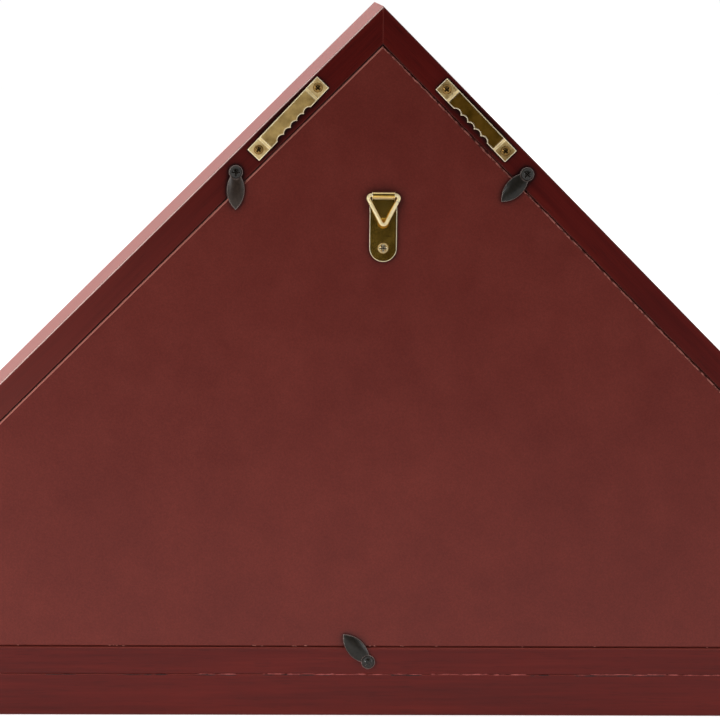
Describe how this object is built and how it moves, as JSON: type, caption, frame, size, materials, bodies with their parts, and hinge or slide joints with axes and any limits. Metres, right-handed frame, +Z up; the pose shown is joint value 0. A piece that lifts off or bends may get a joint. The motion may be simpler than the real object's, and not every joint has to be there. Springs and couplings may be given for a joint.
{
  "type": "folded flag display case",
  "caption": "Triangular wooden display case for a folded flag: glass front, base board, lift-out back held by turn buttons, brass wall hangers.",
  "frame": {"origin": "middle of the base board's underside", "axes": "+Z up, +X along the base to the right as seen from the front, -Y out of the glass front, +Y out of the back panel"},
  "size_m": [0.667, 0.1001, 0.337],
  "materials": {
    "mahogany": "satin red-brown lacquer",
    "panel_board": "matte red-brown paint on fibreboard",
    "liner_wood": "satin red-brown stain",
    "clear_glass": "clear, polished",
    "brass": "pressed and plated",
    "black_steel": "semi-gloss black",
    "steel": "zinc plated"
  },
  "bodies": {
    "case": {"left_rail": "mahogany", "right_rail": "mahogany", "bottom_rail": "mahogany", "base_board": "mahogany", "glass_pane": "clear_glass", "left_liner": "liner_wood", "right_liner": "liner_wood", "bottom_liner": "liner_wood", "corner_nails": "steel", "base_screws": "steel", "left_toothed_hanger": "brass", "right_toothed_hanger": "brass", "toothed_hanger_screws": "brass", "turn_button_screws": "black_steel"},
    "panel": {"back_panel": "panel_board", "hanger_strap": "brass", "hanger_strap_screw": "brass"},
    "ring": {"hanger_ring": "brass"},
    "left_button": {"left_turn_button": "black_steel"},
    "right_button": {"right_turn_button": "black_steel"},
    "bottom_button": {"bottom_turn_button": "black_steel"}
  },
  "joints": [
    {"name": "panel_lift_out", "type": "slide", "parent": "case", "child": "panel", "axis": [0, 1, 0], "range_m": [0, 0.12]},
    {"name": "ring_swing", "type": "hinge", "parent": "panel", "child": "ring", "pos_m": [-0.001, 0.049, 0.2481], "axis": [1, 0, 0], "range_deg": [0, 168]},
    {"name": "left_button_turn", "type": "hinge", "parent": "case", "child": "left_button", "pos_m": [-0.06873, 0.0475, 0.25844], "axis": [0, 1, 0], "range_deg": [-52, 225]},
    {"name": "right_button_turn", "type": "hinge", "parent": "case", "child": "right_button", "pos_m": [0.06873, 0.0475, 0.25844], "axis": [0, 1, 0], "range_deg": [-184, 94]},
    {"name": "bottom_button_turn", "type": "hinge", "parent": "case", "child": "bottom_button", "pos_m": [0.004, 0.0475, 0.02585], "axis": [0, 1, 0], "continuous": true}
  ]
}
